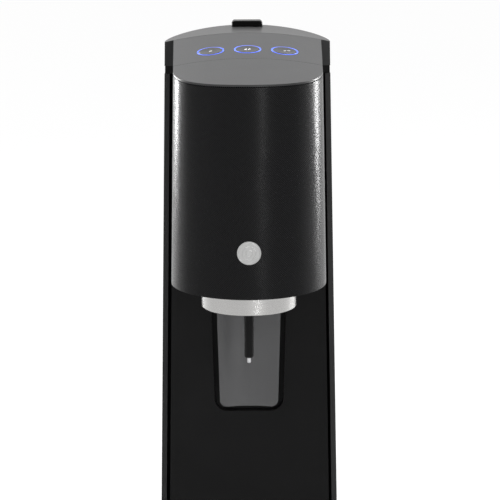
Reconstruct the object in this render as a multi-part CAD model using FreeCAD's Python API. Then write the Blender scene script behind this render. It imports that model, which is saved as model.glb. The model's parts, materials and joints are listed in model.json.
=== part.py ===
"""Electric soda carbonator: a slim column that holds a gas cylinder, with an overhanging head.

Frame: +Z up, the front faces -Y, origin at the middle of the footprint on the ground. Millimetres.
Every piece is one node, written to parts/NODE.step.
"""
import FreeCAD, Part
import math
import os

V = FreeCAD.Vector
UP = V(0, 0, 1)
SIDE = V(1, 0, 0)
BACK = V(0, 1, 0)
SIDES = (-1, 1)
OVER = 1.0  # how far a cutter reaches past what it cuts

# ---- overall sizes -----------------------------------------------------------------
HEIGHT = 434.5  # ground to the top of the release tab
DEPTH = 190.0
HALF_AT_GROUND = 69.3  # half of the rear cover's width at the ground
TAPER = 0.0132  # how much half of the width shrinks for each millimetre of height
FRONT_Y = -DEPTH / 2
REAR_Y = DEPTH / 2
SEAM = 0.3  # gap between two covers that meet
FIT = 0.05  # radial clearance of a turning or sliding fit

# ---- rear: the wide part -----------------------------------------------------------
REAR_BULGE = 45.0  # depth of the half ellipse that rounds the back
COVER_Y = REAR_Y - REAR_BULGE  # front edges of the rear cover
COVER_WALL = 4.0
CORE_INSET = 6.8  # the core and the head stand in from the rear part's sides
NECK_Z = 400.0  # top of the rear cover
NECK_H = 6.0  # dark groove under the top cover
NECK_INSET = 0.4

# ---- base --------------------------------------------------------------------------
FOOT_H = 3.0
FOOT_R = 7.0
FOOT_SOCKET = 1.0
FOOT_INSET = 25.0
BASE_Z = 16.0
BASE_WALL = 2.5
PLATE = 2.5
TRAY_R = 43.5
TRAY_DEPTH = 9.5
TRAY_WALL = 1.6
TRAY_GAP = 0.5
TRAY_LIP = 3.0
TRAY_LIP_H = 1.5
RIB_H = 0.8

# ---- column ------------------------------------------------------------------------
PANEL_Y = 4.0  # front of the front panel at its edges
PANEL_DIP = 8.0  # how far its middle lies further back
PANEL = 2.5
SIDE_WALL = 2.5
WEB_Y = 26.0
WEB = 3.0
WEB_HALF = 50.0
FLANGE = 3.0
FLANGE_DEPTH = 17.0

# ---- head --------------------------------------------------------------------------
AXIS_Y = -35.0  # bottle, nozzle and collar share this vertical axis
HEAD_Z = 254.5
SHELL = 2.5
CAP = 1.6
CAP_GAP = 0.6
SPLIT_Y = -21.0  # where the visor meets the button panel
CROWN_TOP = 432.0  # height of the ridge at the front edge of the top cover
REAR_SLOPE = 3.4  # degrees, falling to the back
FRONT_SLOPE = 4.5  # degrees, falling to the front
CROWN_R = 288.0
TOP_WALL = 3.0
FLOOR_Z = 259.0
FLOOR = 2.5
FLOOR_HALF = 41.0
FLOOR_OPEN_FRONT = 46.0

# ---- badge -------------------------------------------------------------------------
BADGE_R = 9.15
BADGE_Z = 291.0
BADGE_PROUD = 0.9
BADGE_PIN_R = 3.0

# ---- buttons -----------------------------------------------------------------------
BUTTON_R = 9.3
BUTTON_GAP = 0.3
RING_WALL = 0.8
RING_FLANGE = 2.0
RING_SPACE = 3.6  # between the flanges of two rings
BUTTON_Y = 4.0
BUTTON_TRAVEL = 1.0
BUTTON_H = 3.0
BUTTON_PROUD = 0.4
STEM_R = 2.5
BOARD_DROP = 15.0  # panel surface to the top of the button board
BOARD = 1.6
BOARD_HALF = 44.0
BOARD_DEPTH = 34.0
POST_X = 42.0
POST_Y = 13.0
POST_R = 3.0
SWITCH = 6.0
SWITCH_H = 3.3
SCREW_R = 1.6
SCREW_HEAD_R = 3.0
SCREW_HEAD = 1.5

# ---- bottle lock -------------------------------------------------------------------
PIVOT_Z = 268.0
PIN_R = 4.0
SHOULDER_R = 6.0
BUSH_R = 6.0
CHEEK_X = 44.0
CHEEK = 3.0
CHEEK_TOP = 300.0
CUP_R = 34.0
CUP_Z = 252.0
CUP_TOP = 280.0
HUB_R = 18.0
COLLAR_R = 36.2
COLLAR_BORE_R = 32.0
COLLAR_Z = 236.4
LINER_R = 30.0
NOZZLE_R = 3.5
NOZZLE_Z = 195.0
TIP_R = 1.5
TIP_Z = 191.0
SEAL_R = 13.0
SEAL_LOW_R = 7.0
SEAL_Z = 244.0
SHROUD_R = 49.5
SHROUD = 2.5
SHROUD_Z = 145.0
SHROUD_TOP = 262.0
SHROUD_HALF_TOP = 25.8
SHROUD_HALF_LOW = 22.3
SHROUD_CORNER = 6.0
POCKET_GAP = 4.0
POCKET_WALL = 1.5
POCKET_BACK_Y = 21.0

# ---- gas side ----------------------------------------------------------------------
GAS_Y = 60.5
GAS_R = 29.5
GAS_Z = 20.0
GAS_EDGE = 5.0
GAS_SHOULDER_Z = 284.0
GAS_NECK_R = 11.0
GAS_NECK_Z = 316.0
GAS_TOP_Z = 334.0
GAS_PIN_R = 1.5
CRADLE_TOP = 40.0
CRADLE_WALL = 2.0
GAS_GAP = 0.3
WASHER = 3.0
BLOCK_H = 22.0
BLOCK_HALF = 20.0
LEVER_Z_UP = 6.0  # lever's pin above the underside of the block
LEVER_REACH = 22.0
LEVER_ARM = 4.0
LEVER_HALF_H = 3.0
LEVER_REST = -35.0  # degrees below the level
PLUNGER_R = 3.0
PLUNGER_TRAVEL = 2.5
PLUNGER_HEAD_R = 6.0
COIL_R = 15.0
COIL_H = 18.0
COIL_PLATE = 2.0
SPRING_ROOM = 7.0
SPRING_WIRE = 0.8
SPRING_TURNS = 5

# ---- hose, boards, inlet, tab ------------------------------------------------------
HOSE_X = 14.0
HOSE_R = 3.0
HOSE_BEND = 14.0
HOSE_END_Y = -12.0
BRIDGE_Z = 296.0
BRIDGE = 3.0
FITTING_R = 6.0
FITTING_H = 9.0
MAIN_BOARD_GAP = 7.0
INLET_R = 3.7
INLET_BORE_R = 2.75
INLET_LENGTH = 12.0
INLET_Z = 9.5
TAB_HALF = 12.0
TAB_Y = 86.0
TAB_DEPTH = 6.0
TAB_CORNER = 2.6


def half_width(z, inset=0.0):
    """Half of the body's width at height z, less an inset."""
    return HALF_AT_GROUND - TAPER * z - inset


def half_ellipse(z, y, half, bulge):
    """Edge from (+half, y) round to (-half, y), bulging to y + bulge."""
    if abs(bulge) == half:
        return Part.Arc(V(half, y, z), V(0, y + bulge, z), V(-half, y, z)).toShape()
    arc = Part.makeCircle(1, V(), UP, 0, 180)
    grow = FreeCAD.Matrix()
    grow.A11, grow.A22 = half, bulge
    grow.A24, grow.A34 = y, z
    return arc.transformGeometry(grow).Edges[0]


def outline(z, half, y0, y1, front_bulge=0.0, back_bulge=0.0):
    """Closed plan: straight sides from y0 to y1, and a rounded front or back where a bulge is given."""
    edges = []
    if y1 - y0 > 1e-6:
        edges.append(Part.LineSegment(V(half, y0, z), V(half, y1, z)).toShape())
        edges.append(Part.LineSegment(V(-half, y1, z), V(-half, y0, z)).toShape())
    for y, bulge in ((y0, -front_bulge), (y1, back_bulge)):
        if bulge:
            edges.append(half_ellipse(z, y, half, bulge))
        else:
            edges.append(Part.LineSegment(V(half, y, z), V(-half, y, z)).toShape())
    return Part.Wire(Part.__sortEdges__(edges))


def rear_block(z0, z1, inset, y0=COVER_Y):
    """The wide rear part between two heights, stood in by inset at the sides and the back."""
    start = min(y0, COVER_Y)
    wires = [
        outline(z, half_width(z, inset), start, COVER_Y, 0.0, REAR_BULGE - inset) for z in (z0, z1)
    ]
    block = Part.makeLoft(wires, True, True)
    if y0 > start:
        block = block.cut(box(-90, 90, start - OVER, y0, z0 - OVER, z1 + OVER))
    return block


def head_block(z0, z1, inset, y1=COVER_Y - SEAM, axis_y=AXIS_Y):
    """The narrow front part between two heights, with a round front about an axis."""
    wires = []
    for z in (z0, z1):
        half = half_width(z, CORE_INSET + inset)
        wires.append(outline(z, half, axis_y, y1, half, 0.0))
    return Part.makeLoft(wires, True, True)


def box(x0, x1, y0, y1, z0, z1):
    return Part.makeBox(x1 - x0, y1 - y0, z1 - z0, V(x0, y0, z0))


def rod(radius, z0, z1, x=0.0, y=0.0):
    return Part.makeCylinder(radius, z1 - z0, V(x, y, z0), UP)


def cross_rod(radius, x0, x1, y, z):
    return Part.makeCylinder(radius, x1 - x0, V(x0, y, z), SIDE)


def deep_rod(radius, y0, y1, x, z):
    return Part.makeCylinder(radius, y1 - y0, V(x, y0, z), BACK)


def tube(outer, inner, z0, z1, x=0.0, y=0.0):
    return rod(outer, z0, z1, x, y).cut(rod(inner, z0 - OVER, z1 + OVER, x, y))


def both_sides(shape):
    """The shape and its mirror image across the middle plane."""
    return [shape, shape.mirror(V(), SIDE)]


def joined(shapes):
    whole = shapes[0]
    for extra in shapes[1:]:
        whole = whole.fuse(extra)
    return whole.removeSplitter()


def round_edges_at(shape, z):
    return [e for e in shape.Edges if e.Closed and abs(e.CenterOfMass.z - z) < 1e-6]


# ---- crowned top -------------------------------------------------------------------
def slope_z(y):
    """Height of the top's middle line at y."""
    slope = REAR_SLOPE if y > COVER_Y else FRONT_SLOPE
    return CROWN_TOP - abs(y - COVER_Y) * math.tan(math.radians(slope))


def crown(slope, drop):
    """Long cylinder whose top line rises by slope towards the back, lowered by drop."""
    tilt = math.radians(slope)
    along = V(0, math.cos(tilt), math.sin(tilt))
    below = V(0, math.sin(tilt), -math.cos(tilt))
    start = V(0, COVER_Y, CROWN_TOP - drop) + below * CROWN_R - along * DEPTH
    return Part.makeCylinder(CROWN_R, 2 * DEPTH, start, along)


def under_top(shape, drop=0.0):
    return shape.common(crown(FRONT_SLOPE, drop)).common(crown(-REAR_SLOPE, drop))


# ---- base --------------------------------------------------------------------------
def base_block(z0, z1, inset):
    """Footprint of the whole machine: a rounded tongue in front and the wide part behind."""
    tongue_half = half_width(FOOT_H, CORE_INSET)
    tongue = head_block(z0, z1, inset, COVER_Y + inset + OVER, FRONT_Y + tongue_half)
    return joined([tongue, rear_block(z0, z1, inset, COVER_Y + inset)])


def plate_screw_places():
    return [(side * 46.0, y) for y in (22.0, 58.0) for side in SIDES]


def foot_places():
    front, back = FRONT_Y + 2 * FOOT_INSET, REAR_Y - FOOT_INSET
    x = HALF_AT_GROUND - FOOT_INSET
    return [(side * x, y) for y in (front, back) for side in SIDES]


def base_shell():
    """Base with the well for the tray, closed from below by the plate."""
    roof = BASE_Z - BASE_WALL
    well_r = TRAY_R + TRAY_GAP
    well_z = BASE_Z - TRAY_DEPTH - TRAY_GAP
    hollow = base_block(FOOT_H - OVER, roof, BASE_WALL)
    hollow = hollow.cut(rod(well_r + BASE_WALL, FOOT_H + PLATE, BASE_Z, 0, AXIS_Y))
    shell = base_block(FOOT_H, BASE_Z, 0.0).cut(hollow)
    for x, y in plate_screw_places():
        post = tube(SCREW_HEAD_R + 1.5, SCREW_R, FOOT_H + PLATE, roof + 0.5, x, y)
        shell = shell.fuse(post)
    shell = shell.cut(rod(well_r, well_z, BASE_Z + OVER, 0, AXIS_Y))
    shell = shell.cut(rod(well_r + TRAY_LIP, BASE_Z - TRAY_LIP_H, BASE_Z + OVER, 0, AXIS_Y))
    return shell.cut(deep_rod(INLET_R, REAR_Y - 10, REAR_Y + OVER, 0, INLET_Z)).removeSplitter()


def base_plate():
    plate = base_block(FOOT_H, FOOT_H + PLATE, BASE_WALL + SEAM)
    for x, y in foot_places():
        plate = plate.cut(rod(FOOT_R, FOOT_H - OVER, FOOT_H + FOOT_SOCKET, x, y))
    for x, y in plate_screw_places():
        plate = plate.cut(rod(SCREW_HEAD_R, FOOT_H - OVER, FOOT_H + SCREW_HEAD, x, y))
        plate = plate.cut(rod(SCREW_R, FOOT_H, FOOT_H + PLATE + OVER, x, y))
    return plate


def base_screws():
    screws = []
    for x, y in plate_screw_places():
        head = rod(SCREW_HEAD_R, FOOT_H, FOOT_H + SCREW_HEAD, x, y)
        screws.append(head.fuse(rod(SCREW_R, FOOT_H + SCREW_HEAD, FOOT_H + PLATE + 7, x, y)))
    return screws


def rubber_feet():
    feet = []
    for x, y in foot_places():
        foot = rod(FOOT_R, 0, FOOT_H + FOOT_SOCKET, x, y)
        feet.append(foot.makeChamfer(0.6, round_edges_at(foot, 0)))
    return feet


def drip_tray():
    """Shallow dish with a lip, and rings on its floor."""
    floor_z = BASE_Z - TRAY_DEPTH
    tray = rod(TRAY_R, floor_z, BASE_Z, 0, AXIS_Y)
    tray = tray.fuse(rod(TRAY_R + TRAY_LIP - TRAY_GAP, BASE_Z - TRAY_LIP_H + SEAM, BASE_Z, 0, AXIS_Y))
    tray = tray.cut(rod(TRAY_R - TRAY_WALL, floor_z + TRAY_WALL, BASE_Z + OVER, 0, AXIS_Y))
    ribs = [
        tube(r + 1, r - 1, floor_z + TRAY_WALL / 2, floor_z + TRAY_WALL + RIB_H, 0, AXIS_Y)
        for r in (12.0, 22.0, 32.0)
    ]
    return joined([tray] + ribs)


def power_inlet():
    """Round socket in the back of the base, with its centre pin and a nut inside."""
    barrel = deep_rod(INLET_R, REAR_Y - INLET_LENGTH, REAR_Y - 0.2, 0, INLET_Z)
    nut_y = REAR_Y - BASE_WALL - 3
    nut = deep_rod(INLET_R + 0.25, nut_y - 2, nut_y, 0, INLET_Z)
    bore = deep_rod(INLET_BORE_R, REAR_Y - INLET_LENGTH + 2, REAR_Y + OVER, 0, INLET_Z)
    pin = deep_rod(0.8, REAR_Y - INLET_LENGTH + 1, REAR_Y - 2, 0, INLET_Z)
    return barrel.fuse(nut).cut(bore).fuse(pin).removeSplitter()


# ---- column ------------------------------------------------------------------------
def dished(z0, z1, inset, front_y, thickness):
    """Tapered sheet whose middle lies further back than its edges."""
    wires = []
    for z in (z0, z1):
        half = half_width(z, inset)
        mid_y = front_y + PANEL_DIP
        back_y = front_y + thickness
        front = Part.Arc(V(-half, front_y, z), V(0, mid_y, z), V(half, front_y, z)).toShape()
        back = Part.Arc(V(half, back_y, z), V(0, mid_y + thickness, z), V(-half, back_y, z)).toShape()
        right = Part.LineSegment(V(half, front_y, z), V(half, back_y, z)).toShape()
        left = Part.LineSegment(V(-half, back_y, z), V(-half, front_y, z)).toShape()
        wires.append(Part.Wire(Part.__sortEdges__([front, right, back, left])))
    return Part.makeLoft(wires, True, True)


def shroud_view(grow, z_top, y0, y1):
    """The shroud's tapering front view with round lower corners, as a solid along Y."""
    top, low = SHROUD_HALF_TOP + grow, SHROUD_HALF_LOW + grow
    z0 = SHROUD_Z - grow
    corners = [V(-low, y0, z0), V(low, y0, z0), V(top, y0, z_top), V(-top, y0, z_top)]
    solid = Part.Face(Part.makePolygon(corners + corners[:1])).extrude(V(0, y1 - y0, 0))
    low_edges = [
        e for e in solid.Edges if e.BoundBox.ZLength < 1e-6 and e.BoundBox.XLength < 1e-6
        and e.CenterOfMass.z < z0 + 1
    ]
    return solid.makeFillet(SHROUD_CORNER + grow, low_edges)


def front_panel():
    sheet = dished(BASE_Z, HEAD_Z - SEAM, CORE_INSET, PANEL_Y, PANEL)
    return sheet.cut(shroud_view(POCKET_GAP, HEAD_Z + OVER, PANEL_Y - 9, WEB_Y))


def shroud_recess():
    """Dark tray behind the window of the front panel, which gives the shroud room."""
    z_top = HEAD_Z - SEAM
    outer = shroud_view(POCKET_GAP + POCKET_WALL, z_top, PANEL_Y, POCKET_BACK_Y + POCKET_WALL)
    outer = outer.cut(dished(BASE_Z, z_top, CORE_INSET, PANEL_Y - 30, 30 + PANEL))
    return outer.cut(shroud_view(POCKET_GAP, z_top + OVER, PANEL_Y - OVER, POCKET_BACK_Y))


def column_side(side):
    """Side wall of the column, between the front panel and the rear cover."""
    y0, y1 = PANEL_Y + PANEL + PANEL_DIP / 10, COVER_Y - SEAM - 0.5
    wires = []
    for z in (BASE_Z, HEAD_Z - SEAM):
        outer_x = side * half_width(z, CORE_INSET)
        inner_x = side * half_width(z, CORE_INSET + SIDE_WALL)
        points = [V(outer_x, y0, z), V(outer_x, y1, z), V(inner_x, y1, z), V(inner_x, y0, z)]
        wires.append(Part.makePolygon(points + points[:1]))
    wall = Part.makeLoft(wires, True, True)
    rib_x = half_width(HEAD_Z, CORE_INSET + SIDE_WALL)
    rib = box(WEB_HALF + 0.1, rib_x + 1, WEB_Y, WEB_Y + WEB, BASE_Z, HEAD_Z - SEAM)
    if side < 0:
        rib = both_sides(rib)[1]
    return joined([wall, rib])


def spine_frame():
    """Upright channel that everything hangs on, with a shelf across its top."""
    web = box(-WEB_HALF, WEB_HALF, WEB_Y, WEB_Y + WEB, BASE_Z, NECK_Z)
    parts = [web]
    for flange in both_sides(
        box(WEB_HALF - FLANGE, WEB_HALF, WEB_Y, WEB_Y + FLANGE_DEPTH, BASE_Z, NECK_Z)
    ):
        parts.append(flange)
    frame = joined(parts)
    return frame.cut(deep_rod(HOSE_R + 1, WEB_Y - OVER, WEB_Y + WEB + OVER, HOSE_X, hose_z()))


def neck_band():
    """Deck that closes the gas bay from above; its edge shows as a dark groove."""
    deck = rear_block(NECK_Z, NECK_Z + NECK_H, NECK_INSET)
    front = box(-WEB_HALF, WEB_HALF, WEB_Y, COVER_Y + OVER, NECK_Z, NECK_Z + NECK_H)
    deck = joined([deck, front])
    return deck.cut(box(-TAB_HALF, TAB_HALF, TAB_Y - 6, TAB_Y + 2, NECK_Z - OVER, NECK_Z + NECK_H + OVER))


def rear_cover():
    """Removable cover over the gas cylinder, with thick front edges."""
    z0, z1 = BASE_Z + SEAM, NECK_Z - SEAM
    return rear_block(z0, z1, 0.0).cut(rear_block(z0 - OVER, z1 + OVER, COVER_WALL, COVER_Y - OVER))


def tab_slab(grow, z0, z1):
    half = TAB_HALF + grow
    y0, y1 = TAB_Y - TAB_DEPTH / 2 - grow, TAB_Y + TAB_DEPTH / 2 + grow
    slab = box(-half, half, y0, y1, z0, z1)
    upright = [e for e in slab.Edges if e.BoundBox.ZLength > 1]
    return slab.makeFillet(2.5 + grow, upright)


def top_cover():
    """Crowned top of the wide rear part, with a slot for the release tab."""
    z0 = NECK_Z + NECK_H
    outer = under_top(rear_block(z0, HEIGHT, 0.0))
    inner = under_top(rear_block(z0 - OVER, HEIGHT, TOP_WALL, COVER_Y + TOP_WALL), TOP_WALL)
    return outer.cut(inner).cut(tab_slab(SEAM, z0, HEIGHT + OVER))


def release_tab():
    """Press-down tab at the back of the top, with a flange and a stem below it."""
    tab = tab_slab(0.0, CROWN_TOP - 16, HEIGHT)
    rounded = box(-TAB_HALF, TAB_HALF, TAB_Y - TAB_DEPTH, TAB_Y + TAB_DEPTH, NECK_Z, HEIGHT)
    ends = [e for e in rounded.Edges if e.BoundBox.YLength > 1 and abs(e.CenterOfMass.z - HEIGHT) < 1e-6]
    tab = tab.common(rounded.makeFillet(TAB_CORNER, ends))
    flange_z = CROWN_TOP - 18
    flange = box(-TAB_HALF - 2, TAB_HALF + 2, TAB_Y - 4.5, TAB_Y + 3.5, flange_z, flange_z + 2)
    stem = box(-4, 4, TAB_Y - 4, TAB_Y, NECK_Z + 3.5, flange_z + 1)
    return joined([tab, flange, stem])


# ---- head --------------------------------------------------------------------------
def cap_slab():
    whole = under_top(head_block(NECK_Z, HEIGHT, 0.0))
    under = under_top(head_block(NECK_Z - OVER, HEIGHT, -CORE_INSET, COVER_Y + OVER), CAP)
    return whole.cut(under)


def head_shell():
    outer = under_top(head_block(HEAD_Z, HEIGHT, 0.0), CAP + CAP_GAP)
    shell = outer.cut(head_block(HEAD_Z - OVER, HEIGHT + OVER, SHELL, COVER_Y + OVER))
    front = AXIS_Y - half_width(HEAD_Z, CORE_INSET)
    return shell.cut(deep_rod(BADGE_PIN_R, front - OVER, AXIS_Y, 0, BADGE_Z))


def badge():
    """Round plate on the head's front, bare but for a turned rim, with a pin through the shell."""
    shell_y = AXIS_Y - half_width(BADGE_Z, CORE_INSET)
    edge_y = AXIS_Y - math.sqrt(half_width(BADGE_Z, CORE_INSET) ** 2 - BADGE_R ** 2)
    disc = deep_rod(BADGE_R, shell_y - BADGE_PROUD, edge_y + OVER, 0, BADGE_Z)
    front = [e for e in disc.Edges if e.Closed and abs(e.CenterOfMass.y - shell_y + BADGE_PROUD) < 1e-6]
    disc = disc.makeChamfer(0.3, front)
    disc = disc.cut(head_block(BADGE_Z - 15, BADGE_Z + 15, 0.0))
    pin = deep_rod(BADGE_PIN_R, shell_y - 0.3, shell_y + SHELL + 1.5, 0, BADGE_Z)
    return joined([disc, pin])


def head_floor():
    """Plate across the bottom of the head, open where the bottle lock swings."""
    plate = head_block(FLOOR_Z, FLOOR_Z + FLOOR, SHELL + SEAM / 3, WEB_Y - SEAM)
    low, high = FLOOR_Z - OVER, FLOOR_Z + FLOOR + OVER
    front_axis = AXIS_Y - FLOOR_OPEN_FRONT + FLOOR_HALF
    plate = plate.cut(rod(FLOOR_HALF, low, high, 0, front_axis))
    return plate.cut(box(-FLOOR_HALF, FLOOR_HALF, front_axis, POCKET_BACK_Y, low, high))


def on_panel(shape, x=0.0):
    """Moves a shape made about the origin to the crowned panel, with its Z along the surface's normal at x."""
    lean = math.asin(x / CROWN_R)
    slope = math.radians(FRONT_SLOPE)
    along = V(0, math.cos(slope), math.sin(slope))
    up = V(0, -math.sin(slope), math.cos(slope))
    normal = V(math.sin(lean), up.y * math.cos(lean), up.z * math.cos(lean))
    side = along.cross(normal)
    at = V(x, BUTTON_Y, slope_z(BUTTON_Y)) - up * crown_drop(x)
    turn = FreeCAD.Matrix(side.x, along.x, normal.x, at.x,
                          side.y, along.y, normal.y, at.y,
                          side.z, along.z, normal.z, at.z,
                          0, 0, 0, 1)
    moved = shape.copy()
    moved.Placement = FreeCAD.Placement(turn).multiply(moved.Placement)
    return moved


def crown_drop(x):
    """How far the crowned surface lies below the middle line at x."""
    return CROWN_R - math.sqrt(CROWN_R ** 2 - x ** 2)


RING_R = BUTTON_R + BUTTON_GAP + RING_WALL
BUTTON_PITCH = 2 * (RING_R + RING_FLANGE) + RING_SPACE
BUTTON_XS = (-BUTTON_PITCH, 0.0, BUTTON_PITCH)
BOARD_POSTS = [(side * POST_X, y) for y in (-POST_Y, POST_Y) for side in SIDES]


def button_panel():
    slab = cap_slab().common(box(-90, 90, SPLIT_Y + SEAM / 2, COVER_Y, NECK_Z - 20, HEIGHT))
    for x in BUTTON_XS:
        slab = slab.cut(on_panel(rod(RING_R, -12, 4), x))
    posts = [
        on_panel(rod(POST_R, -BOARD_DROP, -CAP / 2 - crown_drop(x), x, y)) for x, y in BOARD_POSTS
    ]
    holes = [on_panel(rod(SCREW_R, -BOARD_DROP - OVER, -BOARD_DROP + 6, x, y)) for x, y in BOARD_POSTS]
    slab = joined([slab] + posts)
    for hole in holes:
        slab = slab.cut(hole)
    return slab


def front_visor():
    return cap_slab().common(box(-90, 90, FRONT_Y, SPLIT_Y - SEAM / 2, NECK_Z - 20, HEIGHT))


def light_rings():
    """Clear sleeves round the buttons, held by a flange below the panel."""
    rings = []
    for x in BUTTON_XS:
        sleeve = tube(RING_R, BUTTON_R + BUTTON_GAP, -CAP - 2, 0.1)
        flange = tube(RING_R + RING_FLANGE, BUTTON_R + BUTTON_GAP, -CAP - 3, -CAP - 0.9)
        rings.append(on_panel(joined([sleeve, flange]), x))
    return rings


def button(x):
    """Button cap with a dished face and a stem that reaches down to its switch."""
    cap = rod(BUTTON_R, -BUTTON_H, BUTTON_PROUD)
    cap = cap.makeFillet(0.6, round_edges_at(cap, BUTTON_PROUD))
    dish_r = 80.0
    cap = cap.cut(Part.makeSphere(dish_r, V(0, 0, BUTTON_PROUD + dish_r - 0.45)))
    reach = BOARD_DROP - SWITCH_H - BUTTON_TRAVEL - 0.5 - crown_drop(x)
    return on_panel(joined([cap, rod(STEM_R, -reach, -BUTTON_H + 0.1)]), x)


def button_board():
    board = box(-BOARD_HALF, BOARD_HALF, -BOARD_DEPTH / 2, BOARD_DEPTH / 2, -BOARD_DROP - BOARD, -BOARD_DROP)
    for x, y in BOARD_POSTS:
        board = board.cut(rod(SCREW_R, -BOARD_DROP - BOARD - OVER, -BOARD_DROP + OVER, x, y))
    return on_panel(board)


def push_switches():
    found = []
    for x in BUTTON_XS:
        half = SWITCH / 2
        body = box(x - half, x + half, -half, half, -BOARD_DROP, -BOARD_DROP + SWITCH_H - 1)
        knob = rod(1.7, -BOARD_DROP + SWITCH_H - 1.5, -BOARD_DROP + SWITCH_H - 0.2, x, 0)
        found.append(on_panel(joined([body, knob])))
    return found


def board_lamps():
    """A small lamp at each side of each switch, under the clear sleeves."""
    places = [x + side * (BUTTON_R + 1) for x in BUTTON_XS for side in SIDES]
    return [
        on_panel(box(x - 1.6, x + 1.6, -1.4, 1.4, -BOARD_DROP, -BOARD_DROP + 1.6)) for x in places
    ]


def board_screws():
    screws = []
    z = -BOARD_DROP - BOARD
    for x, y in BOARD_POSTS:
        head = rod(SCREW_HEAD_R, z - SCREW_HEAD, z, x, y)
        screws.append(on_panel(head.fuse(rod(SCREW_R, z, z + BOARD + 5, x, y)).removeSplitter()))
    return screws


def chassis(side):
    """Plate from the spine that holds one of the lock's bushes."""
    x0, x1 = sorted((side * CHEEK_X, side * (CHEEK_X + CHEEK)))
    plate = box(x0, x1, AXIS_Y - 9, WEB_Y, FLOOR_Z + FLOOR, CHEEK_TOP)
    return plate.cut(cross_rod(BUSH_R, x0 - OVER, x1 + OVER, AXIS_Y, PIVOT_Z))


def trunnion_bushes():
    ring = cross_rod(BUSH_R, CHEEK_X, CHEEK_X + CHEEK, AXIS_Y, PIVOT_Z)
    return both_sides(ring.cut(cross_rod(PIN_R + FIT, CHEEK_X - OVER, CHEEK_X + CHEEK + OVER, AXIS_Y, PIVOT_Z)))


# ---- bottle lock -------------------------------------------------------------------
def trunnion_pins():
    """Pivot pins of the lock, each with a shoulder against the cup."""
    pin = cross_rod(PIN_R, CUP_R - 8, CHEEK_X + CHEEK, AXIS_Y, PIVOT_Z)
    shoulder = cross_rod(SHOULDER_R, CUP_R - 8, CHEEK_X - 1, AXIS_Y, PIVOT_Z)
    return both_sides(joined([pin, shoulder]))


def carbonation_head():
    """Cup over the bottle's neck, with the boss for the nozzle and bores for its pivot pins."""
    cup = rod(CUP_R, CUP_Z, PIVOT_Z + 8, 0, AXIS_Y)
    cup = cup.makeFillet(3.0, round_edges_at(cup, PIVOT_Z + 8))
    cup = cup.fuse(rod(HUB_R, PIVOT_Z + 7, CUP_TOP + 4, 0, AXIS_Y)).removeSplitter()
    cup = cup.cut(rod(SEAL_R, CUP_Z - OVER, CUP_Z + 6, 0, AXIS_Y))
    cup = cup.cut(rod(NOZZLE_R, CUP_Z, CUP_TOP - 4, 0, AXIS_Y))
    for bore in both_sides(cross_rod(SHOULDER_R, CUP_R - 8, CUP_R + OVER, AXIS_Y, PIVOT_Z)):
        cup = cup.cut(bore)
    return cup


def bottle_ring():
    ring = tube(COLLAR_R, COLLAR_BORE_R, COLLAR_Z, CUP_Z, 0, AXIS_Y)
    return ring.makeFillet(0.8, round_edges_at(ring, COLLAR_Z))


def ring_liner():
    return tube(COLLAR_BORE_R, LINER_R, COLLAR_Z + 1, CUP_Z, 0, AXIS_Y)


def bottle_shroud():
    """Curved shield behind the bottle's neck, with the arm that joins it to the cup."""
    shell = tube(SHROUD_R, SHROUD_R - SHROUD, SHROUD_Z - 5, SHROUD_TOP, 0, AXIS_Y)
    shell = shell.common(shroud_view(0.0, SHROUD_TOP, AXIS_Y, AXIS_Y + SHROUD_R + 1))
    arm = tube(SHROUD_R - SHROUD / 2, CUP_R, CUP_Z + 2, SHROUD_TOP, 0, AXIS_Y)
    arm = arm.common(box(-18, 18, AXIS_Y, AXIS_Y + SHROUD_R, CUP_Z, SHROUD_TOP))
    return joined([shell, arm])


def bottle_seal():
    """Rubber cone that closes the bottle's mouth round the nozzle."""
    top = CUP_Z + 6
    plug = rod(SEAL_R, CUP_Z, top, 0, AXIS_Y)
    cone = Part.makeCone(SEAL_LOW_R, SEAL_R, CUP_Z - SEAL_Z, V(0, AXIS_Y, SEAL_Z), UP)
    return joined([plug, cone]).cut(rod(NOZZLE_R, SEAL_Z - OVER, top + OVER, 0, AXIS_Y))


def nozzle_tube():
    stem = rod(NOZZLE_R, NOZZLE_Z, CUP_TOP - 4, 0, AXIS_Y)
    stem = stem.makeFillet(1.8, round_edges_at(stem, NOZZLE_Z))
    return stem.cut(rod(TIP_R, NOZZLE_Z - OVER, NOZZLE_Z + 8, 0, AXIS_Y))


def nozzle_tip():
    tip = rod(TIP_R, TIP_Z, NOZZLE_Z + 8, 0, AXIS_Y)
    tip = tip.makeFillet(0.7, round_edges_at(tip, TIP_Z))
    return tip.cut(rod(0.35, TIP_Z - OVER, NOZZLE_Z + 9, 0, AXIS_Y))


def relief_valve():
    """Small safety valve on top of the cup."""
    x, y = 11.0, AXIS_Y
    z = CUP_TOP + 4
    return joined([rod(3.5, z, z + 2, x, y), rod(2.2, z + 1.5, z + 6, x, y)])


# ---- gas side ----------------------------------------------------------------------
BLOCK_Z = GAS_TOP_Z + WASHER
COIL_Z = BLOCK_Z + BLOCK_H
COIL_TOP = COIL_Z + COIL_H + 2 * COIL_PLATE
LEVER_Z = BLOCK_Z + LEVER_Z_UP


def hose_z():
    """Height of the level run of the hose, at the middle of the block."""
    return BLOCK_Z + BLOCK_H / 2 + 2


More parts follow.
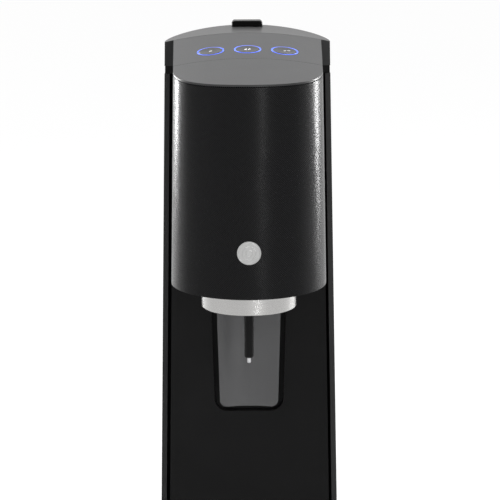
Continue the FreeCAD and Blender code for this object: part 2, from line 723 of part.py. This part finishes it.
def gas_cylinder():
    """Aluminium cylinder with a round bottom edge and a domed shoulder."""
    turn = math.sqrt(0.5)
    edge_r = GAS_R - GAS_EDGE
    neck_low = GAS_NECK_Z - 4
    foot, rim = V(edge_r, 0, GAS_Z), V(GAS_R, 0, GAS_Z + GAS_EDGE)
    foot_mid = V(edge_r + GAS_EDGE * turn, 0, GAS_Z + GAS_EDGE * (1 - turn))
    shoulder, neck = V(GAS_R, 0, GAS_SHOULDER_Z), V(GAS_NECK_R, 0, neck_low)
    reach, rise = GAS_R - GAS_NECK_R, neck_low - GAS_SHOULDER_Z
    dome_mid = V(GAS_NECK_R + reach * turn, 0, GAS_SHOULDER_Z + rise * turn)
    top, low = V(GAS_NECK_R, 0, GAS_NECK_Z), V(0, 0, GAS_Z)
    edges = [
        Part.LineSegment(low, foot).toShape(),
        Part.Arc(foot, foot_mid, rim).toShape(),
        Part.LineSegment(rim, shoulder).toShape(),
        Part.Arc(shoulder, dome_mid, neck).toShape(),
        Part.LineSegment(neck, top).toShape(),
        Part.LineSegment(top, V(0, 0, GAS_NECK_Z)).toShape(),
        Part.LineSegment(V(0, 0, GAS_NECK_Z), low).toShape(),
    ]
    solid = Part.Face(Part.Wire(edges)).revolve(V(), UP, 360)
    solid.translate(V(0, GAS_Y, 0))
    return solid


def cylinder_valve():
    body = rod(GAS_NECK_R - 1, GAS_NECK_Z, GAS_TOP_Z, 0, GAS_Y)
    body = body.cut(tube(GAS_NECK_R, GAS_NECK_R - 3, GAS_TOP_Z - 9, GAS_TOP_Z - 5, 0, GAS_Y))
    return body.cut(rod(GAS_PIN_R, GAS_TOP_Z - 8, GAS_TOP_Z + OVER, 0, GAS_Y))


def valve_pin():
    return rod(GAS_PIN_R, GAS_TOP_Z - 8, GAS_TOP_Z - PLUNGER_TRAVEL - 1, 0, GAS_Y)


def cylinder_cradle():
    """Cup on the base that centres the cylinder."""
    cup = rod(GAS_R + GAS_GAP + CRADLE_WALL, BASE_Z, CRADLE_TOP, 0, GAS_Y)
    cup = cup.common(box(-90, 90, WEB_Y + WEB, REAR_Y - COVER_WALL - 1, BASE_Z, CRADLE_TOP))
    return cup.cut(rod(GAS_R + GAS_GAP, GAS_Z, CRADLE_TOP + OVER, 0, GAS_Y))


def cylinder_seat():
    """Rubber washer between the cylinder's valve and the block."""
    return tube(8.5, PLUNGER_R + 1.5, GAS_TOP_Z, BLOCK_Z, 0, GAS_Y)


def valve_block():
    """Block that seals on the cylinder and carries the solenoid, held out from the spine."""
    top = BLOCK_Z + BLOCK_H
    block = box(-BLOCK_HALF, BLOCK_HALF, WEB_Y + WEB, GAS_Y + BLOCK_HALF - 4, BLOCK_Z, top)
    block = block.cut(rod(PLUNGER_R + FIT, BLOCK_Z - OVER, top + OVER, 0, GAS_Y))
    for bore in both_sides(cross_rod(2.5, BLOCK_HALF - 6, BLOCK_HALF + OVER, GAS_Y, LEVER_Z)):
        block = block.cut(bore)
    block = block.cut(cross_rod(3.5, -BLOCK_HALF - OVER, -BLOCK_HALF + 8, GAS_Y - 14, top - 7))
    return block.cut(deep_rod(HOSE_R, WEB_Y, WEB_Y + WEB + 8, HOSE_X, hose_z()))


def lever_pins():
    return both_sides(cross_rod(2.5, BLOCK_HALF - 6, BLOCK_HALF + 7, GAS_Y, LEVER_Z))


def cylinder_lever():
    """U-shaped lever hung on the block; it points down and back when it is closed."""
    inner = BLOCK_HALF + 0.6
    outer = inner + LEVER_ARM
    low, high = -LEVER_HALF_H, LEVER_HALF_H
    arms = both_sides(box(inner, outer, -5, LEVER_REACH, low, high))
    bar = box(-outer, outer, LEVER_REACH - 4, LEVER_REACH, low, high)
    lever = joined(arms + [bar, cross_rod(5, inner, outer, 0, 0), cross_rod(5, -outer, -inner, 0, 0)])
    lever = lever.cut(cross_rod(2.5 + FIT, -outer - OVER, outer + OVER, 0, 0))
    lever.rotate(V(), SIDE, LEVER_REST)
    lever.translate(V(0, GAS_Y, LEVER_Z))
    return lever


def solenoid_frame():
    """Steel bracket: a plate under the coil, one above it and a back between them."""
    half = COIL_R + 1
    y0 = GAS_Y - half - COIL_PLATE
    parts = [
        box(-half, half, y0, GAS_Y + half, COIL_Z, COIL_Z + COIL_PLATE),
        box(-half, half, y0, GAS_Y + half, COIL_TOP - COIL_PLATE, COIL_TOP),
        box(-half, half, y0, GAS_Y - half, COIL_Z, COIL_TOP),
    ]
    return joined(parts).cut(rod(PLUNGER_R + FIT, COIL_Z - OVER, COIL_TOP + OVER, 0, GAS_Y))


def solenoid_coil():
    z0, z1 = COIL_Z + COIL_PLATE, COIL_TOP - COIL_PLATE
    coil = tube(COIL_R, PLUNGER_R + FIT, z0, z1, 0, GAS_Y)
    return coil.cut(tube(COIL_R + 1, COIL_R - 1.2, z0 + 2, z1 - 2, 0, GAS_Y))


def solenoid_plunger():
    """Rod that pushes the cylinder's pin open, with a head above the bracket."""
    head_z = COIL_TOP + SPRING_ROOM
    stem = rod(PLUNGER_R, BLOCK_Z, head_z, 0, GAS_Y)
    nose = rod(GAS_PIN_R - 0.3, GAS_TOP_Z - 0.5, BLOCK_Z + OVER, 0, GAS_Y)
    head = rod(PLUNGER_HEAD_R, head_z, head_z + 2, 0, GAS_Y)
    return joined([stem, nose, head])


def return_spring():
    """Spring under the plunger's head, as a stack of turns that touch."""
    pitch = (SPRING_ROOM - 2 * SPRING_WIRE) / (SPRING_TURNS - 1)
    low = COIL_TOP + SPRING_WIRE
    turns = [
        Part.makeTorus(PLUNGER_R + 1.5, SPRING_WIRE, V(0, GAS_Y, low + k * pitch))
        for k in range(SPRING_TURNS)
    ]
    return joined(turns)


def safety_valve():
    """Pressure-relief valve screwed into the side of the block."""
    x0 = -BLOCK_HALF
    y, z = GAS_Y - 14, BLOCK_Z + BLOCK_H - 7
    hexagon = [
        V(x0, y + 5.5 * math.cos(math.radians(60 * k)), z + 5.5 * math.sin(math.radians(60 * k)))
        for k in range(7)
    ]
    nut = Part.Face(Part.makePolygon(hexagon)).extrude(V(-4, 0, 0))
    return joined([cross_rod(3.5, x0 - 1, x0 + 8, y, z), nut, cross_rod(3.0, x0 - 10, x0 - 3, y, z)])


def gas_hose():
    """Hose from the block, forward through the spine and down to the fitting."""
    y0, z0 = WEB_Y + WEB + 8, hose_z()
    turn = math.sqrt(0.5)
    end_z = BRIDGE_Z + BRIDGE + FITTING_H
    start, bend0 = V(HOSE_X, y0, z0), V(HOSE_X, HOSE_END_Y + HOSE_BEND, z0)
    bend1 = V(HOSE_X, HOSE_END_Y, z0 - HOSE_BEND)
    mid = V(HOSE_X, HOSE_END_Y + HOSE_BEND * (1 - turn), z0 - HOSE_BEND * (1 - turn))
    path = Part.Wire([
        Part.LineSegment(start, bend0).toShape(),
        Part.Arc(bend0, mid, bend1).toShape(),
        Part.LineSegment(bend1, V(HOSE_X, HOSE_END_Y, end_z)).toShape(),
    ])
    section = Part.Wire([Part.makeCircle(HOSE_R, start, BACK)])
    return path.makePipeShell([section], True, True)


def hose_fitting():
    """Fitting on a bridge between the two chassis plates, where the hose ends."""
    z = BRIDGE_Z + BRIDGE
    bridge = box(-CHEEK_X, CHEEK_X, HOSE_END_Y - FITTING_R, HOSE_END_Y + FITTING_R, BRIDGE_Z, z)
    return joined([bridge, rod(FITTING_R, z - OVER, z + FITTING_H, HOSE_X, HOSE_END_Y)])


def control_board():
    """Main board on the front of the spine, on four posts."""
    y1 = WEB_Y - MAIN_BOARD_GAP
    board = box(-34, 34, y1 - BOARD, y1, 312, 388)
    posts = [deep_rod(3, y1 - OVER, WEB_Y, side * 29, z) for side in SIDES for z in (318, 382)]
    return joined([board] + posts).cut(deep_rod(HOSE_R + 2, y1 - 5, WEB_Y - 1, HOSE_X, hose_z()))


def board_parts():
    """A relay, a chip, a plug and two capacitors on the front of the main board."""
    y1 = WEB_Y - MAIN_BOARD_GAP - BOARD
    found = [
        box(x - w / 2, x + w / 2, y1 - d, y1, z - h / 2, z + h / 2)
        for x, z, w, h, d in ((-20, 326, 16, 12, 9), (-20, 352, 14, 14, 3), (24, 374, 12, 8, 9))
    ]
    return found + [deep_rod(4, y1 - 11, y1, x, 376) for x in (-26, -15)]


NODES = {
    "base_shell": base_shell,
    "base_plate": base_plate,
    "base_screws": base_screws,
    "rubber_feet": rubber_feet,
    "drip_tray": drip_tray,
    "power_inlet": power_inlet,
    "spine_frame": spine_frame,
    "front_panel": front_panel,
    "shroud_recess": shroud_recess,
    "column_side_left": lambda: column_side(-1),
    "column_side_right": lambda: column_side(1),
    "neck_band": neck_band,
    "rear_cover": rear_cover,
    "top_cover": top_cover,
    "release_tab": release_tab,
    "head_shell": head_shell,
    "head_floor": head_floor,
    "front_visor": front_visor,
    "button_panel": button_panel,
    "badge": badge,
    "light_rings": light_rings,
    "button_left": lambda: button(-BUTTON_PITCH),
    "button_middle": lambda: button(0.0),
    "button_right": lambda: button(BUTTON_PITCH),
    "button_board": button_board,
    "push_switches": push_switches,
    "board_lamps": board_lamps,
    "board_screws": board_screws,
    "chassis_left": lambda: chassis(-1),
    "chassis_right": lambda: chassis(1),
    "trunnion_bushes": trunnion_bushes,
    "carbonation_head": carbonation_head,
    "trunnion_pins": trunnion_pins,
    "bottle_ring": bottle_ring,
    "ring_liner": ring_liner,
    "bottle_shroud": bottle_shroud,
    "bottle_seal": bottle_seal,
    "nozzle_tube": nozzle_tube,
    "nozzle_tip": nozzle_tip,
    "relief_valve": relief_valve,
    "gas_cylinder": gas_cylinder,
    "cylinder_valve": cylinder_valve,
    "valve_pin": valve_pin,
    "cylinder_cradle": cylinder_cradle,
    "cylinder_seat": cylinder_seat,
    "valve_block": valve_block,
    "lever_pins": lever_pins,
    "cylinder_lever": cylinder_lever,
    "solenoid_frame": solenoid_frame,
    "solenoid_coil": solenoid_coil,
    "solenoid_plunger": solenoid_plunger,
    "return_spring": return_spring,
    "safety_valve": safety_valve,
    "gas_hose": gas_hose,
    "hose_fitting": hose_fitting,
    "control_board": control_board,
    "board_parts": board_parts,
}

os.makedirs("parts", exist_ok=True)
for name, make in NODES.items():
    made = make()
    solids = [s for piece in (made if isinstance(made, list) else [made]) for s in piece.Solids]
    shape = solids[0] if len(solids) == 1 else Part.makeCompound(solids)
    if not shape.isValid():
        print("not valid:", name)
    shape.exportStep("parts/" + name + ".step")
    print(name, len(solids), round(sum(s.Volume for s in solids) / 1000, 2), "cm3")
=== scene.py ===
import json
import math

import bmesh
import bpy
from mathutils import Matrix, Vector


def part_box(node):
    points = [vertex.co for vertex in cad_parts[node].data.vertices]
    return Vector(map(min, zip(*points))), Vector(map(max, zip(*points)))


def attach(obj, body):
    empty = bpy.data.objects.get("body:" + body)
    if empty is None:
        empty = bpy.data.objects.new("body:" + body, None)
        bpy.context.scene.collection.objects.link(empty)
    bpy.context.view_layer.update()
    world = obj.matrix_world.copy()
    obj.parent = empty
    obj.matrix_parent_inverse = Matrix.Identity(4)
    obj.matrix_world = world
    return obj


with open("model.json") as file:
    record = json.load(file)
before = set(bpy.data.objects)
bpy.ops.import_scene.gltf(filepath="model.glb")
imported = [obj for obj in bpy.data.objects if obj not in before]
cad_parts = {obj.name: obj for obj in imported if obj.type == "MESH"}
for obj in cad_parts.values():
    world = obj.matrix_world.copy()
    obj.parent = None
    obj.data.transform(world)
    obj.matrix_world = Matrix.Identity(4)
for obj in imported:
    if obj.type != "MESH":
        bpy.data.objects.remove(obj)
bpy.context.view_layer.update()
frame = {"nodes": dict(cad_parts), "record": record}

MM = 0.001
NODES = frame["nodes"]


# ---- shader maths ------------------------------------------------------------------
class Wire:
    """A node's output, or a number, that takes part in sums."""

    def __init__(self, finish, socket):
        self.finish = finish
        self.socket = socket

    def math(self, operation, *others):
        return self.finish.node("ShaderNodeMath", {"operation": operation}, self, *others)

    def __add__(self, other):
        return self.math("ADD", other)

    __radd__ = __add__

    def __mul__(self, other):
        return self.math("MULTIPLY", other)

    __rmul__ = __mul__

    def __sub__(self, other):
        return self.math("SUBTRACT", other)

    def __rsub__(self, other):
        return self.finish.node("ShaderNodeMath", {"operation": "SUBTRACT"}, other, self)

    def __truediv__(self, other):
        return self.math("DIVIDE", other)

    def __gt__(self, other):
        return self.math("GREATER_THAN", other)

    def __lt__(self, other):
        return self.math("LESS_THAN", other)

    def __abs__(self):
        return self.math("ABSOLUTE")


class Finish:
    """One material under construction."""

    def __init__(self, name):
        self.material = bpy.data.materials.new(name)
        self.material.use_nodes = True
        self.nodes = self.material.node_tree.nodes
        self.links = self.material.node_tree.links
        self.shader = self.nodes["Principled BSDF"]
        self.place = self.node("ShaderNodeTexCoord", {}, out="Object")

    def node(self, kind, settings, *inputs, out=0, **named):
        made = self.nodes.new(kind)
        for key, value in settings.items():
            setattr(made, key, value)
        for key, value in list(enumerate(inputs)) + list(named.items()):
            self.feed(made.inputs[key], value)
        return Wire(self, made.outputs[out])

    def feed(self, socket, value):
        if isinstance(value, Wire):
            self.links.new(value.socket, socket)
        else:
            socket.default_value = value

    def set(self, **sockets):
        for key, value in sockets.items():
            self.feed(self.shader.inputs[key.replace("_", " ")], value)

    def noise(self, scale, detail=3.0, place=None):
        return self.node("ShaderNodeTexNoise", {}, Vector=place or self.place, Scale=scale, Detail=detail)

    def mix(self, factor, low, high):
        """Colour between two colours."""
        made = self.nodes.new("ShaderNodeMix")
        made.data_type = "RGBA"
        self.feed(made.inputs["Factor"], factor)
        self.feed(made.inputs["A"], low)
        self.feed(made.inputs["B"], high)
        return Wire(self, made.outputs["Result"])

    def bump(self, height, distance, strength=1.0):
        normal = self.node("ShaderNodeBump", {}, Height=height, Distance=distance, Strength=strength)
        self.set(Normal=normal)

    def axes(self):
        split = self.node("ShaderNodeSeparateXYZ", {}, self.place)
        outputs = split.socket.node.outputs
        return [Wire(self, outputs[k]) for k in range(3)]


def grey(level):
    return (level, level, level * 1.02, 1.0)


def moulded(name, low, high, rough, grain=1400.0, depth=0.02, shine=0.5):
    """Moulded plastic: a fine grain, a slow change of colour, and rougher and smoother patches."""
    f = Finish(name)
    slow = f.noise(30.0)
    fine = f.noise(grain, 2.0)
    f.set(Base_Color=f.mix(slow, low, high), Roughness=slow * 0.08 + fine * 0.06 + (rough - 0.07))
    f.set(Specular_IOR_Level=shine)
    f.bump(fine, depth * MM)
    return f.material


def metal(name, low, high, rough, stretch, depth=0.01):
    """Metal with fine lines where the tool or brush ran."""
    f = Finish(name)
    lined = f.node("ShaderNodeMapping", {}, f.place, Scale=stretch)
    lines = f.noise(900.0, 4.0, lined)
    slow = f.noise(25.0)
    f.set(Base_Color=f.mix(lines, low, high), Metallic=1.0)
    f.set(Roughness=lines * 0.12 + slow * 0.06 + (rough - 0.09))
    f.bump(lines, depth * MM)
    return f.material


# ---- the head's engraved shell -----------------------------------------------------
AXIS_Y = -35.0 * MM
SHELL_R = 58.0 * MM
HATCH_PITCH = 1.75 * MM
FIELD = 105.0 * MM  # length of one field of parallel grooves
RISE, FALL = 1.0, 1.3  # slopes of the two sets of field edges
RISE_SHIFT, FALL_SHIFT = 18.0 * MM, 40.0 * MM
RISE_SHARE, FALL_SHARE = 0.5, 0.45  # how much of each field is turned over


def engraved_shell():
    """Deep black gloss with fine slanting grooves, which turn over from field to field."""
    f = Finish("engraved_black")
    x, y, z = f.axes()
    ahead = f.node("ShaderNodeMath", {"operation": "MAXIMUM"}, AXIS_Y - y, 1e-5)
    wrapped = x.math("ARCTAN2", ahead)
    behind = (y - AXIS_Y).math("MAXIMUM", 0.0)
    along = wrapped * SHELL_R + x.math("SIGN") * behind
    rising = ((z - along * RISE + RISE_SHIFT) / FIELD).math("FRACT")
    falling = ((z + along * FALL + FALL_SHIFT) / (FIELD * 1.5)).math("FRACT")
    turned = abs((rising > RISE_SHARE) - (falling > FALL_SHARE))
    slope = turned * 2.0 - 1.0
    wave = ((z + slope * along) * (2 * math.pi / HATCH_PITCH)).math("SINE") * 0.5 + 0.5
    lines = wave.math("POWER", 1.6)
    slow = f.noise(18.0)
    f.set(Base_Color=f.mix(lines, (0.0015, 0.0015, 0.0016, 1), (0.0055, 0.0055, 0.006, 1)))
    f.set(Roughness=lines * 0.12 + slow * 0.05 + 0.20, Specular_IOR_Level=0.09)
    f.bump(wave, 0.07 * MM, 0.22)
    return f.material


def turned_ring():
    """Satin metal with fine rings round the collar."""
    f = Finish("turned_metal")
    height = f.axes()[2]
    rings = f.node("ShaderNodeTexNoise", {"noise_dimensions": "1D"}, W=height * 2600.0, Detail=3.0)
    slow = f.noise(35.0)
    f.set(Base_Color=f.mix(rings, (0.30, 0.298, 0.292, 1), (0.56, 0.555, 0.545, 1)), Metallic=1.0)
    f.set(Roughness=rings * 0.12 + slow * 0.05 + 0.16)
    f.bump(rings, 0.012 * MM)
    return f.material


def lit_ring():
    """Milky light guide, lit blue from below, brighter in some places than in others."""
    f = Finish("lit_guide")
    patch = f.noise(160.0)
    f.set(Base_Color=f.mix(patch, (0.02, 0.06, 0.4, 1), (0.05, 0.12, 0.6, 1)), Roughness=patch * 0.1 + 0.25)
    f.set(Emission_Color=f.mix(patch, (0.008, 0.03, 0.45, 1), (0.09, 0.16, 0.95, 1)), Emission_Strength=1.0)
    return f.material


def badge_metal():
    """Satin metal turned on a lathe, so that its lines run in rings about the badge's middle."""
    f = Finish("badge_metal")
    x, _, z = f.axes()
    middle = (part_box("badge")[0].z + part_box("badge")[1].z) / 2
    reach = (x * x + (z - middle) * (z - middle)).math("SQRT")
    rings = f.node("ShaderNodeTexNoise", {"noise_dimensions": "1D"}, W=reach * 3000.0, Detail=3.0)
    f.set(Base_Color=f.mix(rings, (0.26, 0.26, 0.26, 1), (0.52, 0.52, 0.515, 1)), Metallic=1.0)
    f.set(Roughness=rings * 0.14 + 0.24)
    f.bump(rings, 0.015 * MM)
    return f.material


def circuit_board():
    """Green board with copper tracks under the lacquer."""
    f = Finish("circuit_board")
    cells = f.node("ShaderNodeTexVoronoi", {"feature": "DISTANCE_TO_EDGE"}, Vector=f.place, Scale=260.0)
    track = cells < 0.05
    f.set(Base_Color=f.mix(track, (0.01, 0.09, 0.04, 1), (0.04, 0.22, 0.09, 1)))
    f.set(Roughness=track * 0.1 + 0.35)
    f.bump(track, 0.03 * MM)
    return f.material


# ---- one finish for every node of the frame ----------------------------------------
def finish_nodes():
    """Give each node its material, and return the steel and the badge's metal for the small pieces."""
    gloss = moulded("gloss_black", grey(0.0025), grey(0.004), 0.16, 900.0, 0.002, shine=0.08)
    satin_cap = moulded("satin_cap", grey(0.020), grey(0.025), 0.36, 2400.0, 0.02, shine=0.14)
    satin_case = moulded("satin_case", grey(0.012), grey(0.017), 0.36, 2200.0, 0.02, shine=0.2)
    grey_shroud = moulded("grey_shroud", grey(0.040), grey(0.050), 0.24, 1200.0, 0.006, shine=0.3)
    inner = moulded("inner_black", grey(0.008), grey(0.013), 0.45, shine=0.1)
    tray = moulded("tray_black", grey(0.010), grey(0.014), 0.30, 1600.0, 0.02)
    white = moulded("bearing_white", grey(0.62), grey(0.72), 0.45)
    rubber = moulded("soft_rubber", grey(0.016), grey(0.026), 0.75, 700.0, 0.05)
    seal = moulded("seal_rubber", grey(0.012), grey(0.020), 0.60, 900.0, 0.03)
    steel = metal("plain_steel", (0.42, 0.42, 0.43, 1), (0.62, 0.62, 0.63, 1), 0.30, (1, 1, 8))
    brass = metal("machined_brass", (0.55, 0.38, 0.14, 1), (0.72, 0.54, 0.25, 1), 0.28, (1, 1, 10))
    bottle = metal("lacquered_cylinder", (0.30, 0.33, 0.37, 1), (0.40, 0.43, 0.47, 1), 0.34, (1, 1, 0.2))
    copper = metal("copper_winding", (0.42, 0.16, 0.06, 1), (0.62, 0.28, 0.12, 1), 0.35, (0.3, 0.3, 12))
    board = circuit_board()
    badge = badge_metal()
    groups = {
        engraved_shell(): "head_shell",
        turned_ring(): "bottle_ring",
        lit_ring(): "light_rings",
        badge: "badge",
        gloss: "front_panel column_side_left column_side_right release_tab nozzle_tube base_shell neck_band",
        satin_cap: "front_visor button_panel button_left button_middle button_right",
        satin_case: "rear_cover top_cover",
        grey_shroud: "bottle_shroud",
        tray: "drip_tray cylinder_lever",
        inner: "base_plate spine_frame shroud_recess head_floor chassis_left chassis_right carbonation_head "
               "ring_liner cylinder_cradle hose_fitting valve_block board_parts power_inlet",
        white: "trunnion_bushes push_switches board_lamps",
        rubber: "rubber_feet cylinder_seat gas_hose",
        seal: "bottle_seal",
        steel: "base_screws board_screws trunnion_pins nozzle_tip lever_pins solenoid_frame "
               "solenoid_plunger return_spring valve_pin",
        brass: "cylinder_valve relief_valve safety_valve",
        bottle: "gas_cylinder",
        copper: "solenoid_coil",
        board: "button_board control_board",
    }
    for material, names in groups.items():
        for name in names.split():
            node = NODES[name]
            node.data.materials.clear()
            node.data.materials.append(material)
    return steel, badge


# Width of the softened edges of each node, in mm.
EDGES = {
    "head_shell": 0.5, "front_visor": 0.6, "button_panel": 0.3, "top_cover": 0.8, "rear_cover": 0.7,
    "base_shell": 0.9, "front_panel": 0.4, "column_side_left": 0.3, "column_side_right": 0.3,
    "bottle_shroud": 0.5, "drip_tray": 0.4, "cylinder_lever": 0.6, "release_tab": 0.3, "neck_band": 0.3,
    "bottle_ring": 0.3, "shroud_recess": 0.3, "valve_block": 0.6, "solenoid_frame": 0.3,
}


def soften_edges():
    """Small radii on the moulded edges, so that they catch the light."""
    for name, width in EDGES.items():
        edge = NODES[name].modifiers.new("edge", "BEVEL")
        edge.width = width * MM
        edge.segments = 2
        edge.limit_method = "ANGLE"
        edge.angle_limit = math.radians(40)


# ---- small pieces modelled here ----------------------------------------------------
def piece(name, mesh_builder, material, body):
    """New mesh object from a bmesh, smooth shaded, that rides on a body."""
    mesh = bpy.data.meshes.new(name)
    mesh_builder.to_mesh(mesh)
    mesh_builder.free()
    for face in mesh.polygons:
        face.use_smooth = True
    made = bpy.data.objects.new(name, mesh)
    bpy.context.scene.collection.objects.link(made)
    mesh.materials.append(material)
    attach(made, body)
    return made


def add_torus(bm, turn, centre, major, minor, around=48, across=10):
    """Ring about the local Z of turn."""
    rows = []
    for i in range(around):
        a = 2 * math.pi * i / around
        row = []
        for k in range(across):
            b = 2 * math.pi * k / across
            reach = major + minor * math.cos(b)
            at = Vector((reach * math.cos(a), reach * math.sin(a), minor * math.sin(b)))
            row.append(bm.verts.new(centre + turn @ at))
        rows.append(row)
    for i in range(around):
        here, there = rows[i], rows[(i + 1) % around]
        for k in range(across):
            bm.faces.new((here[k], there[k], there[(k + 1) % across], here[(k + 1) % across]))


BUTTONS = (
    ("button_left", "left_button", 1),
    ("button_middle", "middle_button", 2),
    ("button_right", "right_button", 3),
)
RIM_DEPTH = 1.2 * MM  # how far below its highest point a button's face reaches
DISH = 0.42 * MM  # from a button's highest point to the middle of its face
MARK_PITCH = 3.0 * MM
MARK_R, MARK_STEP, MARK_WIRE = 0.75 * MM, 0.12 * MM, 0.16 * MM
BADGE_RINGS = (8.0, 5.2, 2.4)
BADGE_WIRE = 0.22 * MM
BADGE_SINK = 0.02 * MM


def button_marks(material):
    """One, two or three small raised bubbles on the buttons, for a weak, medium or strong fizz."""
    for name, body, count in BUTTONS:
        joint = next(j for j in frame["record"]["behaviour"]["joints"] if j["child"] == body)
        up = -Vector(joint["axis"]).normalized()
        low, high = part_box(name)
        verts = [NODES[name].matrix_world @ v.co for v in NODES[name].data.vertices]
        face = max(v.dot(up) for v in verts)
        rim = [v for v in verts if v.dot(up) > face - RIM_DEPTH]
        middle = sum(rim, Vector()) / len(rim)
        middle = Vector(((low.x + high.x) / 2 if count == 2 else middle.x, middle.y, middle.z))
        floor = middle + up * (face - DISH - middle.dot(up))
        turn = up.to_track_quat("Z", "Y").to_matrix()
        side = Vector((1, 0, 0))
        bm = bmesh.new()
        for k in range(count):
            shift = (k - (count - 1) / 2) * MARK_PITCH
            add_torus(bm, turn, floor + side * shift, MARK_R + MARK_STEP * k, MARK_WIRE, 24, 8)
        piece(name + "_marks", bm, material, body)


def badge_rings(material):
    """Turned rings on the bare badge."""
    low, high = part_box("badge")
    middle = Vector((0, low.y + BADGE_SINK, (low.z + high.z) / 2))
    turn = Vector((0, -1, 0)).to_track_quat("Z", "Y").to_matrix()
    bm = bmesh.new()
    for radius in BADGE_RINGS:
        add_torus(bm, turn, middle, radius * MM, BADGE_WIRE, 72, 10)
    piece("badge_rings", bm, material, "root")


# ---- stage -------------------------------------------------------------------------
CAMERA_AT = (-28.07 * MM, -5757.9 * MM, 1620.7 * MM)
PITCH, TURN, ROLL = 13.187, -0.291, -0.231
LENS = 553.5
FLOOR_R = 6.0
FLOOR_GLOW = 0.94  # share of white that the floor shows of itself; the rest keeps the shadow
ROOM = (0.55, 0.55, 0.56, 1)  # light of the room on matt surfaces
WHITE = (1, 1, 1, 1)


def add_camera():
    data = bpy.data.cameras.new("camera")
    data.lens = LENS
    data.sensor_width = 36.0
    data.clip_end = 60.0
    made = bpy.data.objects.new("camera", data)
    made.location = CAMERA_AT
    upright = Matrix.Rotation(math.radians(TURN), 3, "Z") @ Matrix.Rotation(math.radians(90 - PITCH), 3, "X")
    made.rotation_euler = (upright @ Matrix.Rotation(math.radians(ROLL), 3, "Z")).to_euler()
    bpy.context.scene.collection.objects.link(made)
    bpy.context.scene.camera = made


def add_floor():
    """Pale round floor that keeps the shadow but looks as bright as the background."""
    bm = bmesh.new()
    bmesh.ops.create_circle(bm, cap_ends=True, radius=FLOOR_R, segments=96)
    mesh = bpy.data.meshes.new("floor")
    bm.to_mesh(mesh)
    bm.free()
    floor = bpy.data.objects.new("floor", mesh)
    bpy.context.scene.collection.objects.link(floor)
    f = Finish("pale_floor")
    mottle = f.noise(3.0)
    f.set(Base_Color=f.mix(mottle, (0.86, 0.86, 0.86, 1), (0.90, 0.90, 0.90, 1)))
    f.set(Roughness=mottle * 0.1 + 0.6)
    path = f.node("ShaderNodeLightPath", {})
    outs = path.socket.node.outputs
    seen = Wire(f, outs["Is Camera Ray"])
    for kind in ("Is Glossy Ray", "Is Transmission Ray"):
        seen = seen.math("MAXIMUM", Wire(f, outs[kind]))
    seen = seen * FLOOR_GLOW
    glow = f.node("ShaderNodeEmission", {}, WHITE, 1.0)
    both = f.node("ShaderNodeMixShader", {}, seen, Wire(f, f.shader.outputs[0]), glow)
    f.links.new(both.socket, f.nodes["Material Output"].inputs["Surface"])
    mesh.materials.append(f.material)


def soft_box(name, at, aim, size, watts):
    """Rectangular lamp at a place, turned to its aim."""
    data = bpy.data.lights.new(name, "AREA")
    data.shape = "RECTANGLE"
    data.size, data.size_y = size
    data.energy = watts
    made = bpy.data.objects.new(name, data)
    made.location = at
    made.rotation_euler = (Vector(aim) - Vector(at)).to_track_quat("-Z", "Y").to_euler()
    bpy.context.scene.collection.objects.link(made)


def around(angle, distance, height):
    """Point round the object; angle 0 is in front of it and 90 to its right."""
    a = math.radians(angle)
    return (distance * math.sin(a), -distance * math.cos(a), height)


def add_lights():
    aim = (0, 0, 0.3)
    soft_box("left_strip", around(-139, 0.95, 0.80), aim, (0.12, 1.6), 40)
    soft_box("right_strip", around(126, 0.95, 0.80), aim, (0.12, 1.6), 46)
    soft_box("front_band", around(20, 2.2, 0.80), aim, (0.22, 1.6), 22)
    soft_box("left_fill", around(-62, 2.4, 0.9), aim, (0.5, 1.0), 8)
    soft_box("overhead", (0.0, 0.9, 2.2), (0, 0, 0.3), (1.6, 1.0), 22)
    soft_box("front_key", (-0.6, -2.0, 2.3), aim, (1.0, 0.8), 24)


def add_world():
    """Grey room for matt surfaces, white for the camera, for shiny surfaces and through glass."""
    world = bpy.data.worlds.new("studio")
    bpy.context.scene.world = world
    world.use_nodes = True
    nodes, links = world.node_tree.nodes, world.node_tree.links
    nodes.clear()
    path = nodes.new("ShaderNodeLightPath")
    room = nodes.new("ShaderNodeBackground")
    room.inputs["Color"].default_value = ROOM
    room.inputs["Strength"].default_value = 1.0
    white = nodes.new("ShaderNodeBackground")
    white.inputs["Color"].default_value = WHITE
    seen = nodes.new("ShaderNodeMath")
    seen.operation = "MAXIMUM"
    links.new(path.outputs["Is Camera Ray"], seen.inputs[0])
    links.new(path.outputs["Is Transmission Ray"], seen.inputs[1])
    shown = nodes.new("ShaderNodeMath")
    shown.operation = "MAXIMUM"
    links.new(seen.outputs[0], shown.inputs[0])
    links.new(path.outputs["Is Glossy Ray"], shown.inputs[1])
    both = nodes.new("ShaderNodeMixShader")
    links.new(shown.outputs[0], both.inputs[0])
    links.new(room.outputs[0], both.inputs[1])
    links.new(white.outputs[0], both.inputs[2])
    links.new(both.outputs[0], nodes.new("ShaderNodeOutputWorld").inputs["Surface"])


steel_metal, silver_metal = finish_nodes()
soften_edges()
button_marks(steel_metal)
badge_rings(silver_metal)
add_floor()
add_lights()
add_world()
add_camera()
bpy.context.scene.view_settings.view_transform = "Standard"
